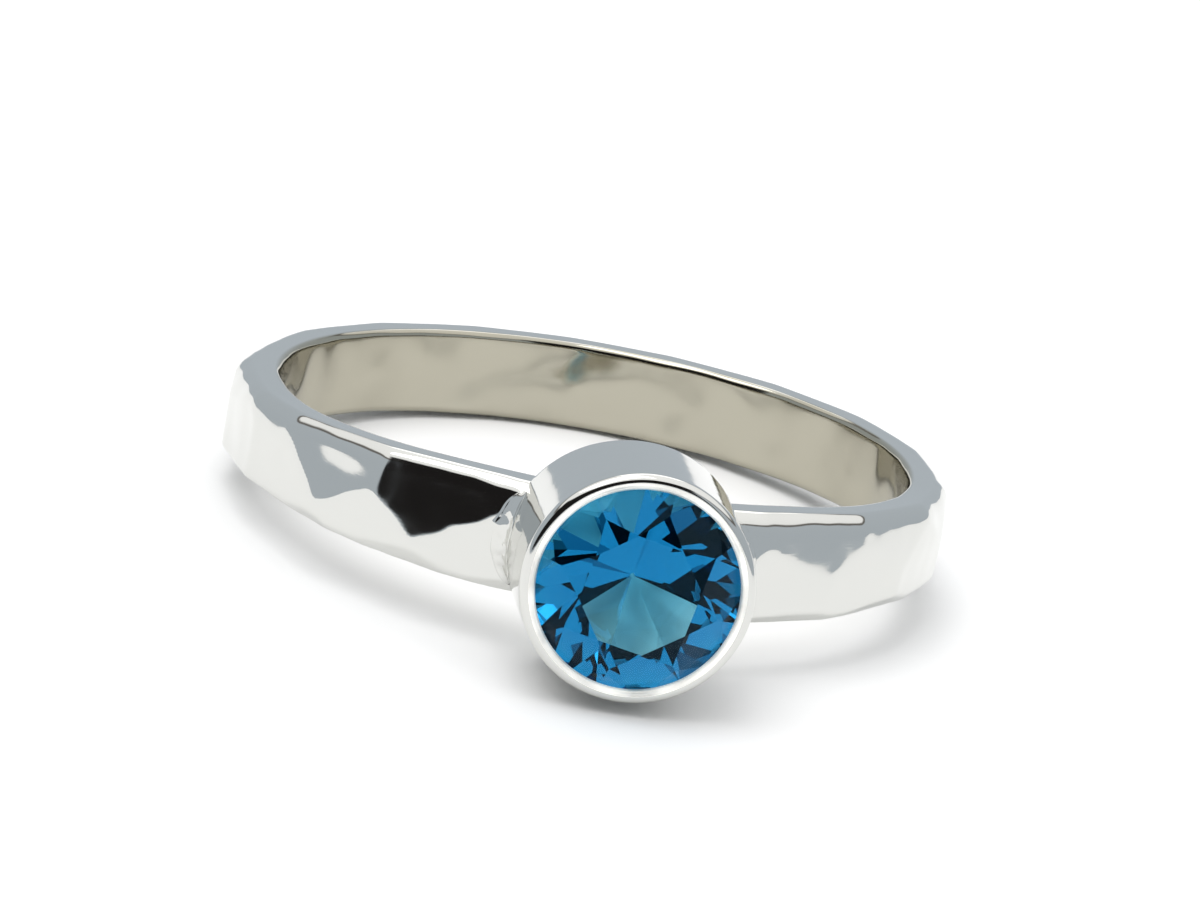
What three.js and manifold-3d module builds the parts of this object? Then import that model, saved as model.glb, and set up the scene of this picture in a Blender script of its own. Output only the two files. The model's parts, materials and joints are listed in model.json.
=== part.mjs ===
// A stackable silver ring: a hammered band carrying a round brilliant in a tube bezel.
// Millimetres, +Z up. The ring lies on its side, resting on the bezel's rear edge and on the back of the
// band, with the stone facing -Y. The origin is on the resting surface, below the middle of the ring.
import * as THREE from "three";
import { mergeVertices } from "three/addons/utils/BufferGeometryUtils.js";
import Module from "manifold-3d";

const wasm = await Module();
wasm.setup();

// ---- Driving dimensions ----------------------------------------------------------------------------

const FINGER_RADIUS = 9.05; // US size 8
const BAND_RADIUS = 10.4; // the blank, before it was hammered
const BAND_HALF_WIDTH = 1.25;
const INNER_EDGE_ROUND = 0.22;
const OUTER_EDGE_ROUND = 0.2;
const RIDGE_SOFTNESS = 0.02; // how far a ridge between two marks is rounded down
const MARK_FLATNESS = 0.75; // 1 for flat marks, less for marks that keep some of the band's curve

const STONE_RADIUS = 3.0;
const GIRDLE_THICKNESS = 0.14;
const TABLE_SHARE = 0.57; // table width over stone width
const CROWN_ANGLE = 35;
const PAVILION_ANGLE = 41;
const CULET_RADIUS = 0.06;
const MAINS = 8;

const BEZEL_RADIUS = 3.3;
const BEZEL_BORE_RADIUS = 2.75;
const BEZEL_CREST = 13.75; // from the ring's axis to the top of the bezel's lip
const LIP_HEIGHT = 0.34; // from the girdle's top edge to the crest
const LIP_OPENING_RADIUS = 2.86;
const LIP_CREST_RADIUS = 3.04;
const LIP_ROUND_DEPTH = 0.42;
const SADDLE_RADIUS = 9.98; // the tube's foot is filed to this curve and soldered to the band
const SETTING_GAP = 0.04; // between the stone and the metal, nominally
const LIP_RELIEF = 0.09; // extra height under the lip, where the crown's upper halves stand proud

const BAND_STEPS = 108;
const BEZEL_STEPS = 48;
const CORNER_STEPS = 3;

// The band is dressed wider beside the bezel: by this much on each side, from FAR to NEAR degrees away.
const BEZEL_WIDENING = 0.34;
const WIDENING_FAR = 78;
const WIDENING_NEAR = 18;
const BEZEL_AT = 270;

// One line for each hammer mark, in two rows that meet along a ridge round the band. Angles run
// anticlockwise from above, from +X. ridge is the height of the ridge there over the band's middle, sunk
// is how far the ridge lies inside BAND_RADIUS, and lean is how far the mark faces up, in degrees.
const UPPER_MARKS = [
  { at: 5, ridge: 0.35, sunk: 0.18, lean: 11.5 },
  { at: 24, ridge: 0.25, sunk: 0.18, lean: 10 },
  { at: 41, ridge: 0.4, sunk: 0.18, lean: 12 },
  { at: 60, ridge: 0.3, sunk: 0.18, lean: 11 },
  { at: 79, ridge: 0.2, sunk: 0.18, lean: 10 },
  { at: 97, ridge: 0.4, sunk: 0.18, lean: 12 },
  { at: 116, ridge: 0.3, sunk: 0.18, lean: 11 },
  { at: 134, ridge: 0.25, sunk: 0.18, lean: 10.5 },
  { at: 153, ridge: 0.35, sunk: 0.18, lean: 12 },
  { at: 184, ridge: 0.7, sunk: 0.13, lean: 16 },
  { at: 200, ridge: 0.6, sunk: 0.12, lean: 16 },
  { at: 217, ridge: -0.4, sunk: 0.04, lean: 12 },
  { at: 238, ridge: -0.55, sunk: 0.03, lean: 9.5 },
  { at: 262, ridge: 0.7, sunk: 0.14, lean: 6 },
  { at: 284, ridge: 0.3, sunk: 0.08, lean: 8 },
  { at: 303, ridge: 0, sunk: 0.05, lean: 10 },
  { at: 324, ridge: 0.2, sunk: 0.08, lean: 12 },
  { at: 344, ridge: 0.4, sunk: 0.11, lean: 13 },
];
const LOWER_MARKS = [
  { at: 12, ridge: 0.2, sunk: 0.19, lean: -2.5 },
  { at: 31, ridge: 0.3, sunk: 0.19, lean: -2 },
  { at: 49, ridge: 0.15, sunk: 0.19, lean: -3 },
  { at: 68, ridge: 0.25, sunk: 0.19, lean: -2.5 },
  { at: 86, ridge: 0.2, sunk: 0.19, lean: -2 },
  { at: 105, ridge: 0.1, sunk: 0.19, lean: -3 },
  { at: 124, ridge: 0.25, sunk: 0.19, lean: -2.5 },
  { at: 142, ridge: 0.2, sunk: 0.19, lean: -2 },
  { at: 161, ridge: 0.3, sunk: 0.19, lean: -3 },
  { at: 188, ridge: 0.55, sunk: 0.13, lean: -1 },
  { at: 203, ridge: 0.6, sunk: 0.13, lean: -2 },
  { at: 226, ridge: -0.25, sunk: 0.06, lean: -3 },
  { at: 247, ridge: -0.1, sunk: 0.09, lean: -2 },
  { at: 262, ridge: 0, sunk: 0.1, lean: -2 },
  { at: 280, ridge: 0, sunk: 0.08, lean: -3 },
  { at: 297, ridge: 0.2, sunk: 0.07, lean: -2 },
  { at: 315, ridge: -0.1, sunk: 0.07, lean: -3 },
  { at: 335, ridge: 0.4, sunk: 0.11, lean: -1 },
  { at: 353, ridge: 0.3, sunk: 0.12, lean: -2 },
];
const HAMMER_MARKS = [...UPPER_MARKS, ...LOWER_MARKS];

// ---- Materials -------------------------------------------------------------------------------------

const silver = new THREE.MeshStandardMaterial({ color: 0xdcdcd6, roughness: 0.12, metalness: 1.0 });
const blueTopaz = new THREE.MeshStandardMaterial({ color: 0x2a7fa8, roughness: 0.0, metalness: 0.0 });

// ---- Solids ----------------------------------------------------------------------------------------

// A closed three.js geometry as a solid that can be joined and cut.
function solidOf(geometry) {
  const bare = geometry.clone();
  bare.deleteAttribute("normal");
  bare.deleteAttribute("uv");
  const merged = mergeVertices(bare, 1e-4);
  return new wasm.Manifold(
    new wasm.Mesh({
      numProp: 3,
      vertProperties: merged.attributes.position.array,
      triVerts: new Uint32Array(merged.index.array),
    }),
  );
}

function geometryOf(solid) {
  const mesh = solid.getMesh();
  const geometry = new THREE.BufferGeometry();
  geometry.setAttribute("position", new THREE.BufferAttribute(mesh.vertProperties, mesh.numProp));
  geometry.setIndex(new THREE.BufferAttribute(mesh.triVerts, 1));
  geometry.computeVertexNormals();
  return geometry;
}

// Points along a quarter of an ellipse, from angle a to angle b in degrees.
function corner(centreX, centreY, radiusX, radiusY, a, b) {
  const points = [];
  for (let i = 0; i <= CORNER_STEPS; i++) {
    const turn = THREE.MathUtils.degToRad(a + ((b - a) * i) / CORNER_STEPS);
    points.push(new THREE.Vector2(centreX + radiusX * Math.cos(turn), centreY + radiusY * Math.sin(turn)));
  }
  return points;
}

// A closed profile of (radius, height) points turned about Z.
function turned(profile, steps) {
  const geometry = new THREE.LatheGeometry([...profile, profile[0]], steps);
  return geometry.rotateX(Math.PI / 2);
}

// ---- Band ------------------------------------------------------------------------------------------

// The wrapped difference between two angles, from -180 to 180 degrees.
function angleBetween(a, b) {
  return THREE.MathUtils.euclideanModulo(a - b + 180, 360) - 180;
}

// Radius of the hammered face at an angle and height: the lowest of the marks, with soft ridges.
function hammeredRadius(angle, height) {
  let sum = 0;
  for (const mark of HAMMER_MARKS) {
    const away = angleBetween(angle, mark.at);
    if (Math.abs(away) > 40) continue;
    const bulge = 1 + MARK_FLATNESS * (1 / Math.cos(THREE.MathUtils.degToRad(away)) - 1);
    const tipped = (height - mark.ridge) * Math.tan(THREE.MathUtils.degToRad(mark.lean));
    const face = (BAND_RADIUS - mark.sunk) * bulge - tipped;
    sum += Math.exp((BAND_RADIUS - face) / RIDGE_SOFTNESS);
  }
  return BAND_RADIUS - RIDGE_SOFTNESS * Math.log(sum);
}

// Half the band's width at an angle. The side faces are filed flat except where it widens.
function halfWidthAt(angle) {
  const away = Math.abs(angleBetween(angle, BEZEL_AT));
  const wide = 1 - THREE.MathUtils.smoothstep(away, WIDENING_NEAR, WIDENING_FAR);
  return BAND_HALF_WIDTH + BEZEL_WIDENING * wide;
}

function bandSolid() {
  const a = INNER_EDGE_ROUND;
  const b = OUTER_EDGE_ROUND;
  const inner = FINGER_RADIUS;
  const outer = BAND_RADIUS;
  const half = BAND_HALF_WIDTH;
  const profile = [
    ...corner(outer - b, -half + b, b, b, 270, 360),
    new THREE.Vector2(outer, -0.3 * half),
    new THREE.Vector2(outer, 0),
    new THREE.Vector2(outer, 0.25 * half),
    new THREE.Vector2(outer, 0.5 * half),
    ...corner(outer - b, half - b, b, b, 0, 90),
    ...corner(inner + a, half - a, a, a, 90, 180),
    ...corner(inner + a, -half + a, a, a, 180, 270),
  ];
  const geometry = turned(profile, BAND_STEPS);
  const position = geometry.attributes.position;
  const point = new THREE.Vector3();
  for (let i = 0; i < position.count; i++) {
    point.fromBufferAttribute(position, i);
    const radius = Math.hypot(point.x, point.y);
    const angle = THREE.MathUtils.radToDeg(Math.atan2(point.y, point.x));
    const through = (radius - inner) / (outer - inner);
    const moved = inner + through * (hammeredRadius(angle, point.z) - inner);
    const wider = halfWidthAt(angle) / half;
    position.setXYZ(i, (point.x * moved) / radius, (point.y * moved) / radius, point.z * wider);
  }
  return solidOf(geometry);
}

// ---- Bezel -----------------------------------------------------------------------------------------

const GIRDLE_TOP = BEZEL_CREST - LIP_HEIGHT;
const GIRDLE_FOOT = GIRDLE_TOP - GIRDLE_THICKNESS;

// Turns a solid made along +Z so that it points along -Y, out of the front of the ring.
function facingFront(geometry) {
  return geometry.rotateX(Math.PI / 2);
}

function bezelSolid() {
  const crownSlope = Math.tan(THREE.MathUtils.degToRad(CROWN_ANGLE));
  const seatSlope = Math.tan(THREE.MathUtils.degToRad(PAVILION_ANGLE));
  const pocket = STONE_RADIUS + SETTING_GAP;
  const foot = SADDLE_RADIUS - 1.2;
  const lipUnderside =
    GIRDLE_TOP + SETTING_GAP + LIP_RELIEF + (STONE_RADIUS - LIP_OPENING_RADIUS) * crownSlope;
  const profile = [
    new THREE.Vector2(BEZEL_RADIUS, foot),
    ...corner(LIP_CREST_RADIUS, BEZEL_CREST - LIP_ROUND_DEPTH, BEZEL_RADIUS - LIP_CREST_RADIUS, LIP_ROUND_DEPTH, 0, 90),
    new THREE.Vector2(LIP_OPENING_RADIUS, lipUnderside + 0.05),
    new THREE.Vector2(LIP_OPENING_RADIUS, lipUnderside),
    new THREE.Vector2(pocket, GIRDLE_TOP + SETTING_GAP),
    new THREE.Vector2(pocket, GIRDLE_FOOT - SETTING_GAP),
    new THREE.Vector2(BEZEL_BORE_RADIUS, GIRDLE_FOOT - SETTING_GAP - (pocket - BEZEL_BORE_RADIUS) * seatSlope),
    new THREE.Vector2(BEZEL_BORE_RADIUS, foot),
  ];
  const tube = solidOf(facingFront(turned(profile, BEZEL_STEPS)));
  const saddle = new THREE.CylinderGeometry(SADDLE_RADIUS, SADDLE_RADIUS, 4 * BEZEL_RADIUS, BAND_STEPS);
  return tube.subtract(solidOf(saddle.rotateX(Math.PI / 2)));
}

// ---- Stone -----------------------------------------------------------------------------------------

// Cuts one ring of facets into a stone. Each facet passes through the point at radius and height,
// seen on its own bearing, and leans back from the girdle by angle degrees, down if down is true.
function withFacets(stone, count, offset, radius, height, angle, down) {
  const big = 4 * STONE_RADIUS;
  let cut = stone;
  for (let i = 0; i < count; i++) {
    const waste = new THREE.BoxGeometry(big, big, big).translate(0, 0, big / 2);
    waste.rotateY(THREE.MathUtils.degToRad(down ? 180 - angle : angle));
    waste.translate(radius, 0, height);
    waste.rotateZ((2 * Math.PI * (i + offset)) / count);
    cut = cut.subtract(solidOf(waste));
  }
  return cut;
}

// A round brilliant along +Z, with the middle of its girdle at z = 0.
function brilliant() {
  const tan = (degrees) => Math.tan(THREE.MathUtils.degToRad(degrees));
  const atan = (slope) => THREE.MathUtils.radToDeg(Math.atan(slope));
  const half = GIRDLE_THICKNESS / 2;
  const crown = STONE_RADIUS * (1 - TABLE_SHARE) * tan(CROWN_ANGLE);
  const depth = STONE_RADIUS * tan(PAVILION_ANGLE);
  const rough = new THREE.CylinderGeometry(STONE_RADIUS, STONE_RADIUS, 4 * STONE_RADIUS, 4 * MAINS);
  let stone = solidOf(rough.rotateX(Math.PI / 2));

  // Table and culet.
  stone = withFacets(stone, 1, 0, 0, half + crown, 0, false);
  stone = withFacets(stone, 1, 0, 0, -half - depth + CULET_RADIUS * tan(PAVILION_ANGLE), 0, true);

  // Crown mains and pavilion mains, through the girdle's edges.
  stone = withFacets(stone, MAINS, 0, STONE_RADIUS, half, CROWN_ANGLE, false);
  stone = withFacets(stone, MAINS, 0, STONE_RADIUS, -half, PAVILION_ANGLE, true);

  // Stars, from the table's edge halfway down the crown, and upper halves from there to the girdle.
  const apothem = STONE_RADIUS * TABLE_SHARE * Math.cos(Math.PI / MAINS);
  stone = withFacets(stone, MAINS, 0.5, apothem, half + crown, atan(0.5 * tan(CROWN_ANGLE)) + 3, false);
  stone = withFacets(stone, 2 * MAINS, 0.5, STONE_RADIUS, half, CROWN_ANGLE + 6.5, false);

  // Lower halves, from the girdle most of the way to the culet.
  stone = withFacets(stone, 2 * MAINS, 0.5, STONE_RADIUS, -half, PAVILION_ANGLE + 1.3, true);
  return stone;
}

// ---- Assembly --------------------------------------------------------------------------------------

const metal = geometryOf(bandSolid().add(bezelSolid()));
const stoneMiddle = (GIRDLE_TOP + GIRDLE_FOOT) / 2;
const stone = facingFront(geometryOf(brilliant())).translate(0, -stoneMiddle, 0);

// How far the ring leans back when it lies down: the angle at which the bezel's rear edge and the back of
// the band are equally low.
function restingLean(geometry) {
  const position = geometry.attributes.position;
  const lowest = (lean, front) => {
    let low = Infinity;
    for (let i = 0; i < position.count; i++) {
      if (position.getY(i) < 0 !== front) continue;
      low = Math.min(low, position.getZ(i) * Math.cos(lean) - position.getY(i) * Math.sin(lean));
    }
    return low;
  };
  let less = 0;
  let more = THREE.MathUtils.degToRad(20);
  for (let i = 0; i < 40; i++) {
    const lean = (less + more) / 2;
    if (lowest(lean, true) < lowest(lean, false)) less = lean;
    else more = lean;
  }
  return (less + more) / 2;
}

const bandAndBezel = new THREE.Mesh(metal, silver);
bandAndBezel.name = "band_and_bezel";
const blueStone = new THREE.Mesh(stone, blueTopaz);
blueStone.name = "blue_stone";

const lyingRing = new THREE.Group();
lyingRing.add(bandAndBezel, blueStone);
lyingRing.rotation.x = -restingLean(metal);

const part = new THREE.Group();
part.add(lyingRing);
const extent = new THREE.Box3().setFromObject(part, true);
const middle = extent.getCenter(new THREE.Vector3());
lyingRing.position.set(-middle.x, -middle.y, -extent.min.z);

export default part;
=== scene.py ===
"""A stackable ring: a hammered silver band with a round blue brilliant in a tube bezel.

The ring lies on its side on a pale table, resting on the bezel's rear edge and on the back of the band.
Pieces are modelled in millimetres on the ring's own axes (Z through the finger hole, the bezel towards
-Y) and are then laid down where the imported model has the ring.
"""
import json
import logging
import math
from dataclasses import dataclass, field
from enum import Enum
from typing import Any, Mapping, Sequence

import bmesh
import bpy
from bmesh.types import BMesh
from bpy.types import Material, Node, NodeTree, Object
from mathutils import Matrix, Vector, noise


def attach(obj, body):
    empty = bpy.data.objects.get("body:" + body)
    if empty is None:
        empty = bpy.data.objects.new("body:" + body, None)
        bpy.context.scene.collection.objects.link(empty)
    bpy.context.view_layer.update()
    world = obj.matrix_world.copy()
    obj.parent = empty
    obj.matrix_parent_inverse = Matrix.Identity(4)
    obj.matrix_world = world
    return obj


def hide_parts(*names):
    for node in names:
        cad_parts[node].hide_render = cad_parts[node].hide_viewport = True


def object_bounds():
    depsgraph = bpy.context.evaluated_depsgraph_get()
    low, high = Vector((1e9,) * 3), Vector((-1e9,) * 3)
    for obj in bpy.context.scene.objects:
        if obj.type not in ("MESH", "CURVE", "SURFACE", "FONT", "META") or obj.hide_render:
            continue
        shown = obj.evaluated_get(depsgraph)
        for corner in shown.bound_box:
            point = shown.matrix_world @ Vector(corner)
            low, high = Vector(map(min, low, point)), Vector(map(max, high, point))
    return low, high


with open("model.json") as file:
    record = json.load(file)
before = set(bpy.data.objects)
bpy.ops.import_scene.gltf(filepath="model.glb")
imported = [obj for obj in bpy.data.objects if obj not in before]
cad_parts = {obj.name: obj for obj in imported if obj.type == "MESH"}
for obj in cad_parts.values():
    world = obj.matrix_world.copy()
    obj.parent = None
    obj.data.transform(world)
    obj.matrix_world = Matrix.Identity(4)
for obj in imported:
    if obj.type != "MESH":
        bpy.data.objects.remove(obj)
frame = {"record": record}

CAD_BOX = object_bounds()
MM = 0.001
TURN = 2.0 * math.pi

log = logging.getLogger("stackable_ring")


class Slot(Enum):
    """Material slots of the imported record."""

    SILVER = "silver"
    STONE = "stone"


# ---- Shading helpers -------------------------------------------------------------------------------


def linear_colour(code: str) -> tuple[float, float, float, float]:
    """Turn an sRGB hex colour into linear RGBA.

    Args:
        code: six hex digits, such as "D8D4CA".

    Returns:
        Linear red, green, blue and an alpha of 1.
    """
    channels = [int(code[i : i + 2], 16) / 255.0 for i in (0, 2, 4)]
    linear = [c / 12.92 if c <= 0.04045 else ((c + 0.055) / 1.055) ** 2.4 for c in channels]
    return (linear[0], linear[1], linear[2], 1.0)


def add_node(
    tree: NodeTree,
    kind: str,
    settings: Mapping[str, Any] | None = None,
    inputs: Mapping[str | int, Any] | None = None,
) -> Node:
    """Add one node, set its properties and fill or link its inputs.

    Args:
        tree: the node tree to add to.
        kind: the node's class name.
        settings: property names and their values.
        inputs: socket names or numbers, each with a value or with the output socket to link from.

    Returns:
        The new node.
    """
    node = tree.nodes.new(kind)
    for name, value in (settings or {}).items():
        setattr(node, name, value)
    for key, value in (inputs or {}).items():
        if isinstance(value, bpy.types.NodeSocket):
            tree.links.new(value, node.inputs[key])
        else:
            node.inputs[key].default_value = value
    return node


def set_ramp(node: Node, stops: Sequence[tuple[float, tuple[float, ...]]]) -> None:
    """Give a colour ramp its stops.

    Args:
        node: a colour ramp node.
        stops: pairs of position and RGBA colour, in order.
    """
    elements = node.color_ramp.elements
    while len(elements) < len(stops):
        elements.new(1.0)
    for element, (position, colour) in zip(elements, stops):
        element.position = position
        element.color = colour


def grey(value: float) -> tuple[float, float, float, float]:
    """Return a linear grey with full alpha."""
    return (value, value, value, 1.0)


# ---- Finishes --------------------------------------------------------------------------------------


@dataclass(frozen=True)
class PolishedSilver:
    """Sterling silver, planished with a hammer and buffed, with a duller inside.

    The buffed outside is a mirror with a faint orange peel and fine polishing lines. The inside was only
    rubbed with a satin wheel, so it is softer, and its darker, warmer colour is painted shade. Behind the
    stone the silver is still white from the pickle, and a weak painted glow there, an emission with no lamp,
    stands for the light scattered about inside the tube.
    """

    name: str = "polished_sterling_silver"
    outside: str = "D9D9D5"
    # Painted shade: the inside's silver colour is darker and warmer than the outside's.
    inside: str = "B2AE9F"
    # The pickled white behind the stone, which is also the colour of the painted glow there.
    pickled: str = "F4F3EE"
    outside_roughness: float = 0.045
    inside_roughness: float = 0.13
    pickled_roughness: float = 0.6
    # Strength of the painted glow behind the stone, an emission with no lamp.
    scattered: float = 0.4
    orange_peel_mm: float = 0.9
    polish_line_mm: float = 0.06
    blotch_mm: float = 2.2

    def build(self, lay_down: Matrix, inner_radius: float, bore_radius: float) -> Material:
        """Make the material.

        Args:
            lay_down: the matrix from the ring's own axes to the scene.
            inner_radius: the finger hole's radius in millimetres.
            bore_radius: the bezel's widest inner radius in millimetres.

        Returns:
            The finished material.
        """
        material = bpy.data.materials.new(self.name)
        material.use_nodes = True
        tree = material.node_tree
        tree.nodes.clear()
        output = add_node(tree, "ShaderNodeOutputMaterial")
        place = add_node(tree, "ShaderNodeTexCoord").outputs["Object"]
        upright = lay_down.inverted()
        own = add_node(
            tree,
            "ShaderNodeMapping",
            {"vector_type": "POINT"},
            {
                "Vector": place,
                "Location": upright.to_translation(),
                "Rotation": upright.to_euler("XYZ"),
                "Scale": upright.to_scale(),
            },
        ).outputs["Vector"]
        flat = add_node(
            tree, "ShaderNodeVectorMath", {"operation": "MULTIPLY"}, {0: own, 1: (1.0, 1.0, 0.0)}
        )
        radius = add_node(
            tree, "ShaderNodeVectorMath", {"operation": "LENGTH"}, {0: flat.outputs["Vector"]}
        ).outputs["Value"]
        inside = add_node(
            tree,
            "ShaderNodeMapRange",
            {"interpolation_type": "SMOOTHSTEP"},
            {"Value": radius, "From Min": inner_radius + 0.22, "From Max": inner_radius + 0.04},
        ).outputs["Result"]

        blotches = add_node(
            tree,
            "ShaderNodeTexNoise",
            None,
            {"Vector": own, "Scale": 1.0 / self.blotch_mm, "Detail": 4.0, "Roughness": 0.55},
        ).outputs["Fac"]
        stretched = add_node(
            tree,
            "ShaderNodeVectorMath",
            {"operation": "MULTIPLY"},
            {0: own, 1: (0.25, 0.25, 1.0)},
        ).outputs["Vector"]
        lines = add_node(
            tree,
            "ShaderNodeTexNoise",
            None,
            {"Vector": stretched, "Scale": 1.0 / self.polish_line_mm, "Detail": 2.0, "Roughness": 0.6},
        ).outputs["Fac"]
        peel = add_node(
            tree,
            "ShaderNodeTexNoise",
            None,
            {"Vector": own, "Scale": 1.0 / self.orange_peel_mm, "Detail": 1.5, "Roughness": 0.4},
        ).outputs["Fac"]

        across = add_node(
            tree, "ShaderNodeVectorMath", {"operation": "MULTIPLY"}, {0: own, 1: (1.0, 0.0, 1.0)}
        )
        off_axis = add_node(
            tree, "ShaderNodeVectorMath", {"operation": "LENGTH"}, {0: across.outputs["Vector"]}
        ).outputs["Value"]
        in_bore = add_node(
            tree,
            "ShaderNodeMath",
            {"operation": "LESS_THAN"},
            {0: off_axis, 1: bore_radius + 0.02},
        ).outputs["Value"]
        in_front = add_node(
            tree,
            "ShaderNodeMath",
            {"operation": "LESS_THAN"},
            {0: add_node(tree, "ShaderNodeSeparateXYZ", None, {0: own}).outputs["Y"], 1: -inner_radius - 0.5},
        ).outputs["Value"]
        behind_stone = add_node(
            tree, "ShaderNodeMath", {"operation": "MULTIPLY"}, {0: in_bore, 1: in_front}
        ).outputs["Value"]

        # Painted shade: towards the finger hole the base colour turns to the darker, warmer inside colour.
        worn = add_node(
            tree,
            "ShaderNodeMix",
            {"data_type": "RGBA"},
            {0: inside, 6: linear_colour(self.outside), 7: linear_colour(self.inside)},
        ).outputs[2]
        colour = add_node(
            tree,
            "ShaderNodeMix",
            {"data_type": "RGBA"},
            {0: behind_stone, 6: worn, 7: linear_colour(self.pickled)},
        ).outputs[2]
        shiny = add_node(
            tree,
            "ShaderNodeMapRange",
            None,
            {
                "Value": blotches,
                "From Min": 0.3,
                "From Max": 0.75,
                "To Min": self.outside_roughness,
                "To Max": self.outside_roughness * 2.0,
            },
        ).outputs["Result"]
        dull = add_node(
            tree,
            "ShaderNodeMapRange",
            None,
            {
                "Value": blotches,
                "From Min": 0.3,
                "From Max": 0.7,
                "To Min": self.inside_roughness * 0.6,
                "To Max": self.inside_roughness * 1.3,
            },
        ).outputs["Result"]
        rubbed = add_node(
            tree, "ShaderNodeMix", {"data_type": "FLOAT"}, {0: inside, 2: shiny, 3: dull}
        ).outputs[0]
        roughness = add_node(
            tree,
            "ShaderNodeMix",
            {"data_type": "FLOAT"},
            {0: behind_stone, 2: rubbed, 3: self.pickled_roughness},
        ).outputs[0]

        soft = add_node(
            tree, "ShaderNodeBump", None, {"Strength": 0.25, "Distance": 0.02 * MM, "Height": peel}
        ).outputs["Normal"]
        fine = add_node(
            tree,
            "ShaderNodeBump",
            None,
            {"Strength": 0.12, "Distance": 0.002 * MM, "Height": lines, "Normal": soft},
        ).outputs["Normal"]
        # Painted glow: in patches, the pickled silver behind the stone emits a little light that stands in
        # for light scattered inside the tube.
        glow = add_node(
            tree,
            "ShaderNodeMapRange",
            None,
            {
                "Value": peel,
                "From Min": 0.35,
                "From Max": 0.65,
                "To Min": 0.35 * self.scattered,
                "To Max": 1.3 * self.scattered,
            },
        ).outputs["Result"]
        shader = add_node(
            tree,
            "ShaderNodeBsdfPrincipled",
            None,
            {
                "Base Color": colour,
                "Metallic": 1.0,
                "Roughness": roughness,
                "Normal": fine,
                "Emission Color": linear_colour(self.pickled),
                "Emission Strength": add_node(
                    tree, "ShaderNodeMath", {"operation": "MULTIPLY"}, {0: behind_stone, 1: glow}
                ).outputs["Value"],
            },
        )
        tree.links.new(shader.outputs["BSDF"], output.inputs["Surface"])
        return material


@dataclass(frozen=True)
class BlueTopaz:
    """Irradiated topaz, faceted and polished: clear, deep blue, darker where light travels further in it.

    Its reflection is tinted down, which keeps the dark facets from being veiled by the pale room.
    """

    name: str = "polished_blue_topaz"
    surface: str = "EEF8FA"
    glint: str = "5A8296"
    ior: float = 1.62
    roughness: float = 0.0
    absorbed: tuple[float, float, float] = (0.02, 0.665, 0.83)
    density_per_mm: float = 0.66

    def build(self) -> Material:
        """Make the material and return it."""
        material = bpy.data.materials.new(self.name)
        material.use_nodes = True
        tree = material.node_tree
        tree.nodes.clear()
        output = add_node(tree, "ShaderNodeOutputMaterial")
        shader = add_node(
            tree,
            "ShaderNodeBsdfPrincipled",
            None,
            {
                "Base Color": linear_colour(self.surface),
                "Roughness": self.roughness,
                "IOR": self.ior,
                "Specular Tint": linear_colour(self.glint),
                "Transmission Weight": 1.0,
            },
        )
        body = add_node(
            tree,
            "ShaderNodeVolumeAbsorption",
            None,
            {"Color": (*self.absorbed, 1.0), "Density": self.density_per_mm / MM},
        )
        tree.links.new(shader.outputs["BSDF"], output.inputs["Surface"])
        tree.links.new(body.outputs["Volume"], output.inputs["Volume"])
        return material


@dataclass(frozen=True)
class PaleTable:
    """A matte white card laid on the table."""

    name: str = "matte_white_card"
    colour: str = "FAFAFA"
    roughness: float = 0.9

    def build(self) -> Material:
        """Make the material and return it."""
        material = bpy.data.materials.new(self.name)
        material.use_nodes = True
        shader = material.node_tree.nodes["Principled BSDF"]
        shader.inputs["Base Color"].default_value = linear_colour(self.colour)
        shader.inputs["Roughness"].default_value = self.roughness
        return material


# ---- Shape helpers ---------------------------------------------------------------------------------


def laid_down(record: Mapping[str, Any], face_radius: float) -> Matrix:
    """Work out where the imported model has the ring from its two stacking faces.

    Args:
        record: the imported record.
        face_radius: how far from the ring's axis both stacking faces are marked, in millimetres.

    Returns:
        The matrix from the ring's own axes, in millimetres, to the scene, in metres.
    """
    faces = {mount["name"]: mount for mount in record["mounts"]}
    upper = faces["upper_stacking_face"]
    lower = faces["lower_stacking_face"]
    lean = math.atan2(upper["axis"][1], upper["axis"][2])
    turn = Matrix.Rotation(-lean, 4, "X")
    between = (Vector(upper["pos_m"]) + Vector(lower["pos_m"])) / 2.0
    centre = between - turn @ Vector((0.0, face_radius * MM, 0.0))
    return Matrix.Translation(centre) @ turn @ Matrix.Scale(MM, 4)


def cross_section(
    bm: BMesh,
    corners: Sequence[tuple[float, float, float]],
    segments: int,
    spacing: float,
) -> None:
    """Draw a closed outline in the XZ plane with rounded corners and evenly cut sides.

    Args:
        bm: an empty bmesh, which then holds only the outline's edges.
        corners: x, z and rounding radius of each corner, in millimetres.
        segments: how many edges round off each corner.
        spacing: the longest edge left on the straight sides, in millimetres.
    """
    points = [bm.verts.new((x, 0.0, z)) for x, z, _ in corners]
    bm.faces.new(points)
    rounded: dict[float, list] = {}
    for point, (_, _, radius) in zip(points, corners):
        if radius > 0.0:
            rounded.setdefault(radius, []).append(point)
    for radius, group in rounded.items():
        bmesh.ops.bevel(
            bm,
            geom=group,
            offset=radius,
            offset_type="OFFSET",
            segments=segments,
            profile=0.5,
            affect="VERTICES",
            material=-1,
        )
    for edge in [e for e in bm.edges if e.calc_length() > spacing]:
        cuts = int(edge.calc_length() / spacing)
        bmesh.ops.subdivide_edges(bm, edges=[edge], cuts=cuts)
    bmesh.ops.delete(bm, geom=bm.faces[:], context="FACES_ONLY")


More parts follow.
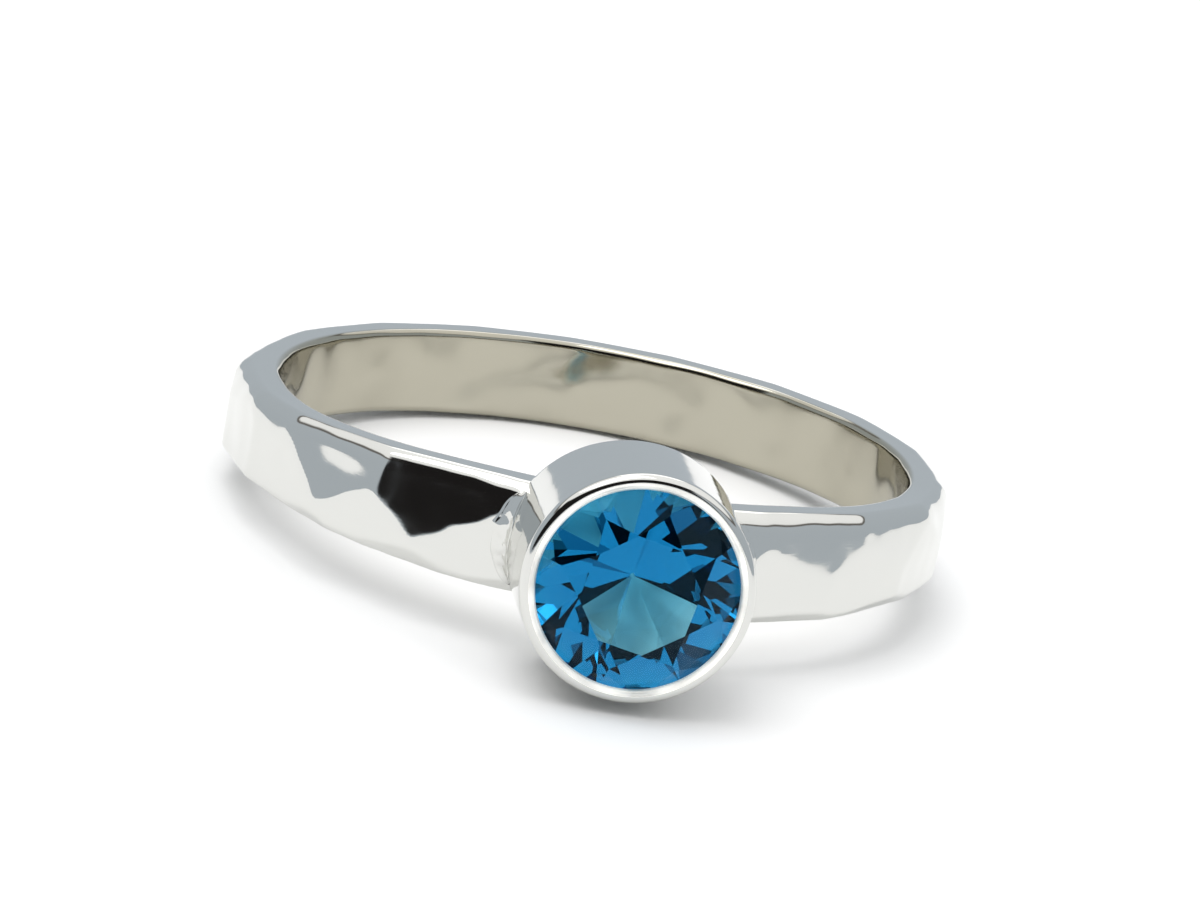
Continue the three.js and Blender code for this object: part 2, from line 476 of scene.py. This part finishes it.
def spun(bm: BMesh, steps: int) -> None:
    """Turn everything in the bmesh a full circle about Z and close the seam.

    Args:
        bm: a bmesh holding an outline's edges.
        steps: how many steps make the circle.
    """
    bmesh.ops.spin(
        bm,
        geom=bm.verts[:] + bm.edges[:],
        cent=(0.0, 0.0, 0.0),
        axis=(0.0, 0.0, 1.0),
        angle=TURN,
        steps=steps,
        use_merge=True,
    )
    bmesh.ops.remove_doubles(bm, verts=bm.verts[:], dist=1e-5)
    bmesh.ops.recalc_face_normals(bm, faces=bm.faces[:])


def finished_piece(name: str, bm: BMesh, place: Matrix, material: Material, smooth: bool) -> Object:
    """Lay a modelled bmesh down in the scene as a piece that stays with the ring.

    Args:
        name: the piece's name.
        bm: the modelled shape, in millimetres on the ring's own axes. It is freed.
        place: the matrix from the ring's own axes to the scene.
        material: the piece's material.
        smooth: whether faces are shaded smoothly.

    Returns:
        The new object.
    """
    bmesh.ops.transform(bm, matrix=place, verts=bm.verts[:])
    for face in bm.faces:
        face.smooth = smooth
    mesh = bpy.data.meshes.new(name)
    bm.to_mesh(mesh)
    bm.free()
    mesh.materials.append(material)
    piece = bpy.data.objects.new(name, mesh)
    bpy.context.scene.collection.objects.link(piece)
    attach(piece, "root")
    log.info("%s: %d faces", name, len(mesh.polygons))
    return piece


# ---- Band ------------------------------------------------------------------------------------------


@dataclass(frozen=True)
class HammerMark:
    """One blow of the planishing hammer, which leaves a nearly flat facet.

    Attributes:
        at: its direction from the ring's axis in degrees, anticlockwise from +X seen from above.
        height: how far above the band's middle its lower or upper ridge runs, in millimetres.
        depth: that ridge's distance from the ring's axis, in millimetres.
        lean: how far it faces up, in degrees.
    """

    at: float
    height: float
    depth: float
    lean: float


@dataclass
class HammeredBand:
    """The band: a flat strip bent round, planished outside and filed flat on both sides."""

    finger_radius: float = 9.05
    blank_radius: float = 10.4
    half_width: float = 1.25
    bezel_widening: float = 0.34
    widening_near: float = 18.0
    widening_far: float = 78.0
    inner_round: float = 0.2
    top_round: float = 0.42
    foot_round: float = 0.2
    steps: int = 560
    spacing: float = 0.085
    flatness: float = 0.75
    ridge_softness: float = 0.012
    waviness: float = 0.034
    ripple_mm: float = 0.55
    ripple: float = 0.0035
    pitting: float = 0.012
    pitted_near: float = 22.0
    pit_size: float = 2.6
    patch_size: float = 1.1
    reach: float = 40.0
    buffing: float = 0.006
    inner_ripple: float = 0.055
    face_marks: tuple[HammerMark, ...] = field(default_factory=tuple)
    edge_marks: tuple[HammerMark, ...] = field(default_factory=tuple)

    def half_width_at(self, angle: float) -> float:
        """Give half the band's width at an angle.

        Args:
            angle: direction from the ring's axis in degrees.

        Returns:
            Half the width in millimetres.
        """
        away = abs((angle - 270.0 + 180.0) % 360.0 - 180.0)
        share = (self.widening_far - away) / (self.widening_far - self.widening_near)
        share = min(1.0, max(0.0, share))
        return self.half_width + self.bezel_widening * share * share * (3.0 - 2.0 * share)

    def struck_radius(self, angle: float, height: float) -> float:
        """Give the hammered face's distance from the ring's axis: the lowest of the facets there.

        Args:
            angle: direction from the ring's axis in degrees.
            height: height above the band's middle in millimetres.

        Returns:
            The radius in millimetres, with the ridges between facets a little softened.
        """
        total = 0.0
        for number, mark in enumerate(self.face_marks):
            away = (angle - mark.at + 180.0) % 360.0 - 180.0
            if abs(away) > self.reach:
                continue
            bulge = self.flatness * (1.0 / math.cos(math.radians(away)) - 1.0)
            facet = mark.depth * (1.0 + bulge) - (height - mark.height) * math.tan(math.radians(mark.lean))
            along = math.radians(away) * mark.depth
            facet += self.waviness * noise.noise(Vector((0.9 * along, 0.9 * height, 7.3 * number)))
            total += math.exp((self.blank_radius - facet) / self.ridge_softness)
        return self.blank_radius - self.ridge_softness * math.log(total)

    def worked(self, point: Vector, angle: float) -> float:
        """Give the small unevenness left by buffing and, beside the bezel, by the solderer's file.

        Args:
            point: where on the band, in millimetres.
            angle: its direction from the ring's axis in degrees.

        Returns:
            How far the surface stands out there, in millimetres.
        """
        away = abs((angle - 270.0 + 180.0) % 360.0 - 180.0) - self.widening_near
        pitted = math.exp(-((max(0.0, away) / (0.5 * self.pitted_near)) ** 2))
        soft = self.buffing * noise.noise(point * 0.9)
        soft += self.ripple * noise.noise(point / self.ripple_mm)
        patches = abs(noise.noise(point * self.patch_size))
        return soft + self.pitting * pitted * noise.noise(point * self.pit_size) * patches * 2.0

    def strike_edge(self, bm: BMesh, mark: HammerMark) -> None:
        """Flatten what stands proud of a blow on the band's corner.

        Args:
            bm: the band.
            mark: the blow.
        """
        at = math.radians(mark.at)
        out = Vector((math.cos(at), math.sin(at), 0.0))
        lean = math.radians(mark.lean)
        normal = out * math.cos(lean) + Vector((0.0, 0.0, math.sin(lean)))
        middle = out * mark.depth + Vector((0.0, 0.0, mark.height))
        for vert in bm.verts:
            proud = (vert.co - middle).dot(normal)
            if proud > 0.0 and vert.co.dot(out) > 0.8 * mark.depth:
                vert.co -= normal * proud

    def build(self, place: Matrix, material: Material) -> Object:
        """Model the band.

        Args:
            place: the matrix from the ring's own axes to the scene.
            material: the silver.

        Returns:
            The band's object.
        """
        bm = bmesh.new()
        inner, outer, half = self.finger_radius, self.blank_radius, self.half_width
        cross_section(
            bm,
            [
                (inner, -half, self.inner_round),
                (outer, -half, self.foot_round),
                (outer, half, self.top_round),
                (inner, half, self.inner_round),
            ],
            segments=8,
            spacing=self.spacing,
        )
        spun(bm, self.steps)
        for vert in bm.verts:
            flat = vert.co.xy.length
            angle = math.degrees(math.atan2(vert.co.y, vert.co.x))
            vert.co.z *= self.half_width_at(angle) / half
            through = (flat - inner) / (outer - inner)
            struck = self.struck_radius(angle, vert.co.z)
            radius = inner + through * (struck - inner)
            radius += self.worked(vert.co, angle) * through
            wave = Vector((0.75 * vert.co.x, 0.75 * vert.co.y, 0.8 * vert.co.z))
            radius += self.inner_ripple * noise.noise(wave) * max(0.0, 1.0 - 2.5 * through)
            vert.co.x *= radius / flat
            vert.co.y *= radius / flat
        for mark in self.edge_marks:
            self.strike_edge(bm, mark)
        outside = [v for v in bm.verts if v.co.xy.length > inner + 0.5]
        bmesh.ops.smooth_vert(
            bm, verts=outside, factor=0.5, use_axis_x=True, use_axis_y=True, use_axis_z=True
        )
        bmesh.ops.recalc_face_normals(bm, faces=bm.faces[:])
        return finished_piece("hammered_band", bm, place, material, smooth=True)


# ---- Bezel -----------------------------------------------------------------------------------------


@dataclass
class TubeBezel:
    """The tube bezel: a length of silver tube, its foot filed to the band and its lip pushed over."""

    radius: float = 3.3
    bore_radius: float = 2.75
    crest: float = 13.75
    lip_height: float = 0.34
    lip_opening: float = 2.86
    lip_round: float = 0.24
    girdle: float = 0.14
    stone_radius: float = 3.0
    crown_angle: float = 35.0
    pavilion_angle: float = 41.0
    saddle_radius: float = 9.98
    setting_gap: float = 0.04
    lip_relief: float = 0.09
    hand_wobble: float = 0.03
    wobble_depth: float = 0.8
    steps: int = 256
    spacing: float = 0.12

    def build(self, place: Matrix, material: Material) -> Object:
        """Model the tube.

        Args:
            place: the matrix from the ring's own axes to the scene.
            material: the silver.

        Returns:
            The bezel's object.
        """
        crown = math.tan(math.radians(self.crown_angle))
        seat = math.tan(math.radians(self.pavilion_angle))
        top = self.crest - self.lip_height
        bottom = top - self.girdle
        pocket = self.stone_radius + self.setting_gap
        under_lip = top + self.setting_gap + self.lip_relief + (self.stone_radius - self.lip_opening) * crown
        seat_foot = bottom - self.setting_gap - (pocket - self.bore_radius) * seat
        foot = self.saddle_radius - 1.0
        bm = bmesh.new()
        cross_section(
            bm,
            [
                (self.radius, foot, 0.0),
                (self.radius, self.crest, self.lip_round),
                (self.lip_opening + 0.06, self.crest - 0.02, 0.05),
                (self.lip_opening, under_lip, 0.0),
                (pocket, top + self.setting_gap, 0.0),
                (pocket, bottom - self.setting_gap, 0.0),
                (self.bore_radius, seat_foot, 0.0),
                (self.bore_radius, foot, 0.0),
            ],
            segments=8,
            spacing=self.spacing,
        )
        spun(bm, self.steps)
        bmesh.ops.rotate(bm, cent=(0, 0, 0), matrix=Matrix.Rotation(math.pi / 2, 3, "X"), verts=bm.verts[:])
        self.push_over(bm)
        self.file_foot(bm)
        bmesh.ops.recalc_face_normals(bm, faces=bm.faces[:])
        return finished_piece("tube_bezel", bm, place, material, smooth=True)

    def push_over(self, bm: BMesh) -> None:
        """Leave the lip a little uneven, as a hand burnisher does.

        Args:
            bm: the tube, pointing along -Y.
        """
        for vert in bm.verts:
            bearing = math.atan2(vert.co.z, vert.co.x)
            near_lip = max(0.0, 1.0 - (self.crest + vert.co.y) / self.wobble_depth)
            spot = Vector((1.6 * math.cos(bearing), 1.6 * math.sin(bearing), 4.0))
            wobble = self.hand_wobble * noise.noise(spot)
            if vert.co.xz.length > self.lip_opening + 0.1:
                vert.co.y += wobble * near_lip
                vert.co.x *= 1.0 + 0.3 * wobble * near_lip
                vert.co.z *= 1.0 + 0.3 * wobble * near_lip

    def file_foot(self, bm: BMesh) -> None:
        """File the foot to the band's curve.

        Args:
            bm: the tube, pointing along -Y.
        """
        for vert in bm.verts:
            saddle = -math.sqrt(self.saddle_radius**2 - vert.co.x**2)
            vert.co.y = min(vert.co.y, saddle)


# ---- Solder ----------------------------------------------------------------------------------------


@dataclass(frozen=True)
class SolderSeam:
    """The solder drawn into the corner where one side of the tube meets the band's outer face.

    Attributes:
        side: 1 for the seam on the +X side of the tube and -1 for the other.
        leg: how far the solder climbs the tube and creeps along the band, in millimetres.
        reach: how far up and down from the band's middle the seam runs, in millimetres.
        sunk: how far its hidden edges lie inside the silver, in millimetres.
    """

    side: float
    leg: float = 0.4
    reach: float = 1.36
    sunk: float = 0.06
    lumpiness: float = 0.3
    arc_steps: int = 9
    stations: int = 36

    def outline(self, band: HammeredBand, tube_radius: float, height: float) -> list[Vector]:
        """Work out the seam's cross-section at one height.

        Args:
            band: the band, for its outer face.
            tube_radius: the tube's outer radius in millimetres.
            height: height above the band's middle in millimetres.

        Returns:
            The corners of the closed outline: the hollow face from tube to band, then two hidden corners.
        """
        wall = math.sqrt(tube_radius**2 - height**2)

        def face(across: float) -> Vector:
            """Give the point on the band's outer face that is this far out from the tube's axis."""
            bearing = 270.0 + math.degrees(math.asin(self.side * across / band.blank_radius))
            radius = band.struck_radius(bearing, height)
            return Vector((self.side * across, -math.sqrt(radius**2 - across**2), height))

        lumps = 1.0 + self.lumpiness * noise.noise(Vector((4.0 * self.side, 1.7 * height, 2.0)))
        fade = math.sqrt(max(0.0, 1.0 - (height / self.reach) ** 2))
        leg = 0.04 + self.leg * lumps * fade
        corner = face(wall)
        start = corner + Vector((0.0, -leg, 0.0))
        end = face(wall + leg)
        hollow = corner.lerp((start + end) / 2.0, 0.3)
        points = []
        for step in range(self.arc_steps + 1):
            share = step / self.arc_steps
            point = start.lerp(hollow, share).lerp(hollow.lerp(end, share), share)
            grain = noise.noise(point * 4.0) * 0.05 * fade * math.sin(math.pi * share)
            points.append(point + Vector((self.side * grain, -grain, 0.0)))
        inward = Vector((-self.side * self.sunk, 0.0, 0.0))
        down = Vector((0.0, self.sunk, 0.0))
        return [points[0] + inward, *points, end + down, corner + inward + down]

    def build(self, band: HammeredBand, tube_radius: float, place: Matrix, material: Material) -> Object:
        """Model the seam.

        Args:
            band: the band, for its outer face.
            tube_radius: the tube's outer radius in millimetres.
            place: the matrix from the ring's own axes to the scene.
            material: the silver.

        Returns:
            The seam's object.
        """
        heights = [self.reach * (2.0 * i / self.stations - 1.0) for i in range(self.stations + 1)]
        outlines = [self.outline(band, tube_radius, height) for height in heights]
        corners = len(outlines[0])
        bm = bmesh.new()
        bmesh.ops.create_grid(bm, x_segments=corners, y_segments=self.stations, size=1.0)
        bm.verts.ensure_lookup_table()
        for index, vert in enumerate(bm.verts):
            row, column = divmod(index, corners + 1)
            vert.co = outlines[row][column % corners]
        bmesh.ops.remove_doubles(bm, verts=bm.verts[:], dist=1e-6)
        bmesh.ops.holes_fill(bm, edges=[e for e in bm.edges if e.is_boundary], sides=0)
        bmesh.ops.recalc_face_normals(bm, faces=bm.faces[:])
        name = "solder_seam_right" if self.side > 0.0 else "solder_seam_left"
        return finished_piece(name, bm, place, material, smooth=True)


# ---- Stone -----------------------------------------------------------------------------------------


@dataclass
class RoundBrilliant:
    """The stone: a round brilliant with table, crown, girdle, pavilion and culet."""

    radius: float = 3.0
    girdle: float = 0.14
    table_share: float = 0.57
    crown_angle: float = 35.0
    pavilion_angle: float = 41.0
    star_extra: float = 3.0
    upper_extra: float = 6.5
    lower_extra: float = 1.8
    culet_radius: float = 0.06
    mains: int = 8
    girdle_steps: int = 96
    middle: float = 13.34
    spin: float = 11.0

    def cut(self, bm: BMesh, count: int, offset: float, radius: float, height: float, angle: float) -> None:
        """Cut and polish one ring of facets.

        Args:
            bm: the stone, along +Z with its girdle's middle at 0.
            count: how many facets the ring has.
            offset: the first facet's bearing as a share of the step between facets.
            radius: a point on the first facet, out from the axis.
            height: that point's height.
            angle: how far the facet leans from level, below 90 on the crown and above 90 on the pavilion.
        """
        for i in range(count):
            bearing = TURN * (i + offset) / count + math.radians(self.spin)
            out = Vector((math.cos(bearing), math.sin(bearing), 0.0))
            tilt = math.radians(angle)
            normal = out * math.sin(tilt) + Vector((0.0, 0.0, math.cos(tilt)))
            result = bmesh.ops.bisect_plane(
                bm,
                geom=bm.verts[:] + bm.edges[:] + bm.faces[:],
                dist=1e-5,
                plane_co=out * radius + Vector((0.0, 0.0, height)),
                plane_no=normal,
                clear_outer=True,
            )
            rim = [g for g in result["geom_cut"] if isinstance(g, bmesh.types.BMEdge)]
            if rim:
                bmesh.ops.contextual_create(bm, geom=rim)

    def build(self, place: Matrix, material: Material) -> Object:
        """Model the stone.

        Args:
            place: the matrix from the ring's own axes to the scene.
            material: the topaz.

        Returns:
            The stone's object.
        """
        half = self.girdle / 2.0
        crown = self.radius * (1.0 - self.table_share) * math.tan(math.radians(self.crown_angle))
        slope = math.tan(math.radians(self.pavilion_angle))
        star = math.degrees(math.atan(0.5 * math.tan(math.radians(self.crown_angle)))) + self.star_extra
        apothem = self.radius * self.table_share * math.cos(math.pi / self.mains)
        bm = bmesh.new()
        bmesh.ops.create_cone(
            bm,
            cap_ends=True,
            segments=self.girdle_steps,
            radius1=self.radius,
            radius2=self.radius,
            depth=4.0 * self.radius,
        )
        self.cut(bm, 1, 0.0, 0.0, half + crown, 0.0)
        self.cut(bm, 1, 0.0, 0.0, -half - (self.radius - self.culet_radius) * slope, 180.0)
        self.cut(bm, self.mains, 0.0, self.radius, half, self.crown_angle)
        self.cut(bm, self.mains, 0.0, self.radius, -half, 180.0 - self.pavilion_angle)
        self.cut(bm, self.mains, 0.5, apothem, half + crown, star)
        self.cut(bm, 2 * self.mains, 0.5, self.radius, half, self.crown_angle + self.upper_extra)
        lower = 180.0 - self.pavilion_angle - self.lower_extra
        self.cut(bm, 2 * self.mains, 0.5, self.radius, -half, lower)
        bmesh.ops.recalc_face_normals(bm, faces=bm.faces[:])
        bmesh.ops.translate(bm, vec=(0.0, 0.0, self.middle), verts=bm.verts[:])
        bmesh.ops.rotate(bm, cent=(0, 0, 0), matrix=Matrix.Rotation(math.pi / 2, 3, "X"), verts=bm.verts[:])
        return finished_piece("round_brilliant", bm, place, material, smooth=False)


# ---- Studio ----------------------------------------------------------------------------------------


@dataclass
class Studio:
    """The pale table, the light around it and the camera."""

    table_size: float = 3.0
    azimuth: float = 8.7
    elevation: float = 19.4
    roll: float = 11.2
    distance: float = 0.418
    width_seen: float = 0.034
    sensor: float = 36.0
    dark_azimuth: float = 23.0
    dark_half_width: float = 0.66
    dark_height: float = 0.33
    dark_half_height: float = 0.3

    def lay_table(self) -> Object:
        """Lay the table's white card and return it."""
        bm = bmesh.new()
        bmesh.ops.create_grid(bm, x_segments=1, y_segments=1, size=self.table_size / 2.0)
        mesh = bpy.data.meshes.new("table_card")
        bm.to_mesh(mesh)
        bm.free()
        mesh.materials.append(PaleTable().build())
        card = bpy.data.objects.new("table_card", mesh)
        bpy.context.scene.collection.objects.link(card)
        return card

    def light_room(self) -> None:
        """Light the table like a bright room with a soft window overhead and a dark figure in front."""
        world = bpy.data.worlds.new("soft_room")
        bpy.context.scene.world = world
        world.use_nodes = True
        tree = world.node_tree
        tree.nodes.clear()
        output = add_node(tree, "ShaderNodeOutputWorld")
        ray = add_node(tree, "ShaderNodeTexCoord").outputs["Generated"]
        height = add_node(tree, "ShaderNodeSeparateXYZ", None, {0: ray}).outputs["Z"]
        sky = add_node(tree, "ShaderNodeValToRGB", {"name": "sky"}, {"Fac": height})
        set_ramp(
            sky,
            [
                (0.0, (0.50, 0.55, 0.60, 1.0)),
                (0.44, (0.52, 0.57, 0.62, 1.0)),
                (0.47, (0.17, 0.16, 0.15, 1.0)),
                (0.51, (0.17, 0.16, 0.15, 1.0)),
                (0.55, grey(1.08)),
                (1.0, grey(1.2)),
            ],
        )
        ahead = add_node(
            tree,
            "ShaderNodeMapping",
            {"vector_type": "POINT"},
            {"Vector": ray, "Rotation": (0.0, 0.0, math.radians(self.dark_azimuth))},
        ).outputs["Vector"]
        spread = add_node(
            tree,
            "ShaderNodeVectorMath",
            {"operation": "SUBTRACT"},
            {0: ahead, 1: (0.0, -1.0, self.dark_height)},
        ).outputs["Vector"]
        sides = add_node(tree, "ShaderNodeSeparateXYZ", None, {0: spread})
        dark: Any = 1.0
        for axis, half in (("X", self.dark_half_width), ("Y", 0.7), ("Z", self.dark_half_height)):
            away = add_node(
                tree, "ShaderNodeMath", {"operation": "ABSOLUTE"}, {0: sides.outputs[axis]}
            ).outputs["Value"]
            within = add_node(
                tree,
                "ShaderNodeMapRange",
                {"interpolation_type": "SMOOTHSTEP"},
                {"Value": away, "From Min": half + 0.02, "From Max": half - 0.02},
            ).outputs["Result"]
            dark = add_node(
                tree, "ShaderNodeMath", {"operation": "MULTIPLY"}, {0: within, 1: dark}
            ).outputs["Value"]
        room = add_node(
            tree,
            "ShaderNodeMix",
            {"data_type": "RGBA"},
            {0: dark, 6: sky.outputs["Color"], 7: (0.014, 0.013, 0.013, 1.0)},
        ).outputs[2]
        seen = add_node(tree, "ShaderNodeLightPath").outputs["Is Camera Ray"]
        shown = add_node(
            tree, "ShaderNodeMix", {"data_type": "RGBA"}, {0: seen, 6: room, 7: grey(1.0)}
        ).outputs[2]
        background = add_node(tree, "ShaderNodeBackground", None, {"Color": shown, "Strength": 1.0})
        tree.links.new(background.outputs["Background"], output.inputs["Surface"])

    def hang_softbox(self, name: str, place: Vector, size: tuple[float, float], power: float) -> Object:
        """Hang one rectangular softbox aimed at the ring.

        Args:
            name: the light's name.
            place: where it hangs, in metres.
            size: its width and height in metres.
            power: its power in watts.

        Returns:
            The light's object.
        """
        light = bpy.data.lights.new(name, "AREA")
        light.shape = "RECTANGLE"
        light.size, light.size_y = size
        light.energy = power
        softbox = bpy.data.objects.new(name, light)
        softbox.location = place
        softbox.rotation_euler = (-place).to_track_quat("-Z", "Y").to_euler()
        softbox.visible_camera = False
        bpy.context.scene.collection.objects.link(softbox)
        return softbox

    def develop(self) -> None:
        """Show the light as it is, with no film look."""
        bpy.context.scene.view_settings.view_transform = "Standard"

    def place_camera(self, target: Vector) -> Object:
        """Set up the camera.

        Args:
            target: the point that it looks at.

        Returns:
            The camera's object.
        """
        azimuth = math.radians(self.azimuth)
        elevation = math.radians(self.elevation)
        ahead = Vector(
            (
                math.sin(azimuth) * math.cos(elevation),
                math.cos(azimuth) * math.cos(elevation),
                -math.sin(elevation),
            )
        )
        lens = bpy.data.cameras.new("camera")
        lens.sensor_width = self.sensor
        lens.lens = self.sensor * self.distance / self.width_seen
        lens.clip_start = 0.01
        camera = bpy.data.objects.new("camera", lens)
        turn = ahead.to_track_quat("-Z", "Y").to_matrix().to_4x4()
        tip = Matrix.Rotation(math.radians(self.roll), 4, "Z")
        camera.matrix_world = Matrix.Translation(target - ahead * self.distance) @ turn @ tip
        bpy.context.scene.collection.objects.link(camera)
        bpy.context.scene.camera = camera
        return camera


def face_marks() -> tuple[HammerMark, ...]:
    """Lay out the blows on the band's outer face: an upper row and a lower row.

    Returns:
        The marks, each given by the ridge that it shares with the other row.
    """
    upper = [
        HammerMark(184.0, 0.70, 10.27, 16.0),
        HammerMark(200.0, 0.60, 10.28, 16.0),
        HammerMark(217.0, -0.40, 10.36, 12.0),
        HammerMark(238.0, -0.55, 10.37, 9.5),
        HammerMark(262.0, 0.7, 10.26, 6.0),
        HammerMark(284.0, 0.3, 10.32, 8.0),
        HammerMark(303.0, 0.0, 10.35, 10.0),
        HammerMark(324.0, 0.2, 10.32, 12.0),
        HammerMark(344.0, 0.4, 10.29, 13.0),
    ]
    lower = [
        HammerMark(188.0, 0.55, 10.27, -1.0),
        HammerMark(203.0, 0.60, 10.27, -2.0),
        HammerMark(226.0, -0.25, 10.34, -3.0),
        HammerMark(247.0, -0.10, 10.31, -2.0),
        HammerMark(262.0, 0.0, 10.30, -2.0),
        HammerMark(280.0, 0.0, 10.32, -3.0),
        HammerMark(297.0, 0.2, 10.33, -2.0),
        HammerMark(315.0, -0.1, 10.33, -3.0),
        HammerMark(335.0, 0.4, 10.29, -1.0),
        HammerMark(353.0, 0.3, 10.28, -2.0),
    ]
    for i in range(9):
        sway = noise.noise(Vector((1.7 * i, 0.3, 0.0)))
        upper.append(HammerMark(4.0 + 18.6 * i + 4.0 * sway, 0.3 + 0.4 * sway, 10.22, 11.0 + 4.0 * sway))
        sway = noise.noise(Vector((2.3 * i, 5.3, 0.0)))
        lower.append(HammerMark(12.0 + 18.6 * i + 4.0 * sway, 0.2 + 0.4 * sway, 10.21, -2.5 + 2.0 * sway))
    return tuple(upper + lower)


def edge_marks() -> tuple[HammerMark, ...]:
    """Lay out the blows that slipped onto the lower corner of the band.

    Returns:
        The marks, each given by a point on its face.
    """
    marks = [
        HammerMark(209.0, -1.18, 10.22, -40.0),
        HammerMark(232.0, -1.30, 10.22, -38.0),
        HammerMark(252.0, -1.42, 10.22, -36.0),
        HammerMark(300.0, -1.38, 10.22, -38.0),
        HammerMark(322.0, -1.22, 10.22, -40.0),
    ]
    for i in range(8):
        sway = noise.noise(Vector((3.1 * i, 9.3, 0.0)))
        marks.append(HammerMark(5.0 + 22.0 * i + 6.0 * sway, -1.12, 10.2 + 0.03 * sway, -41.0))
    return tuple(marks)


def main() -> None:
    """Build the ring, its finishes and the studio."""
    logging.basicConfig(level=logging.INFO, format="%(name)s: %(message)s")
    place = laid_down(frame["record"], face_radius=9.6)
    pocket = TubeBezel.stone_radius + TubeBezel.setting_gap
    silver = PolishedSilver().build(place, HammeredBand.finger_radius, pocket)
    topaz = BlueTopaz().build()

    strip = HammeredBand(face_marks=face_marks(), edge_marks=edge_marks())
    band = strip.build(place, silver)
    bezel = TubeBezel().build(place, silver)
    seams = [SolderSeam(side).build(strip, TubeBezel.radius, place, silver) for side in (1.0, -1.0)]
    stone = RoundBrilliant().build(place, topaz)
    for piece in (band, bezel, *seams):
        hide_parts("band_and_bezel")
    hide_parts("blue_stone")

    low, high = CAD_BOX
    middle = (Vector(low) + Vector(high)) / 2.0
    studio = Studio()
    studio.lay_table()
    studio.light_room()
    studio.hang_softbox("softbox_above", Vector((-0.2, -0.08, 0.6)), (0.5, 0.45), 1.6)
    studio.hang_softbox("softbox_behind", Vector((0.05, 0.45, 0.42)), (0.35, 0.3), 0.25)
    studio.place_camera(middle)
    studio.develop()


if __name__ == "__main__":
    main()
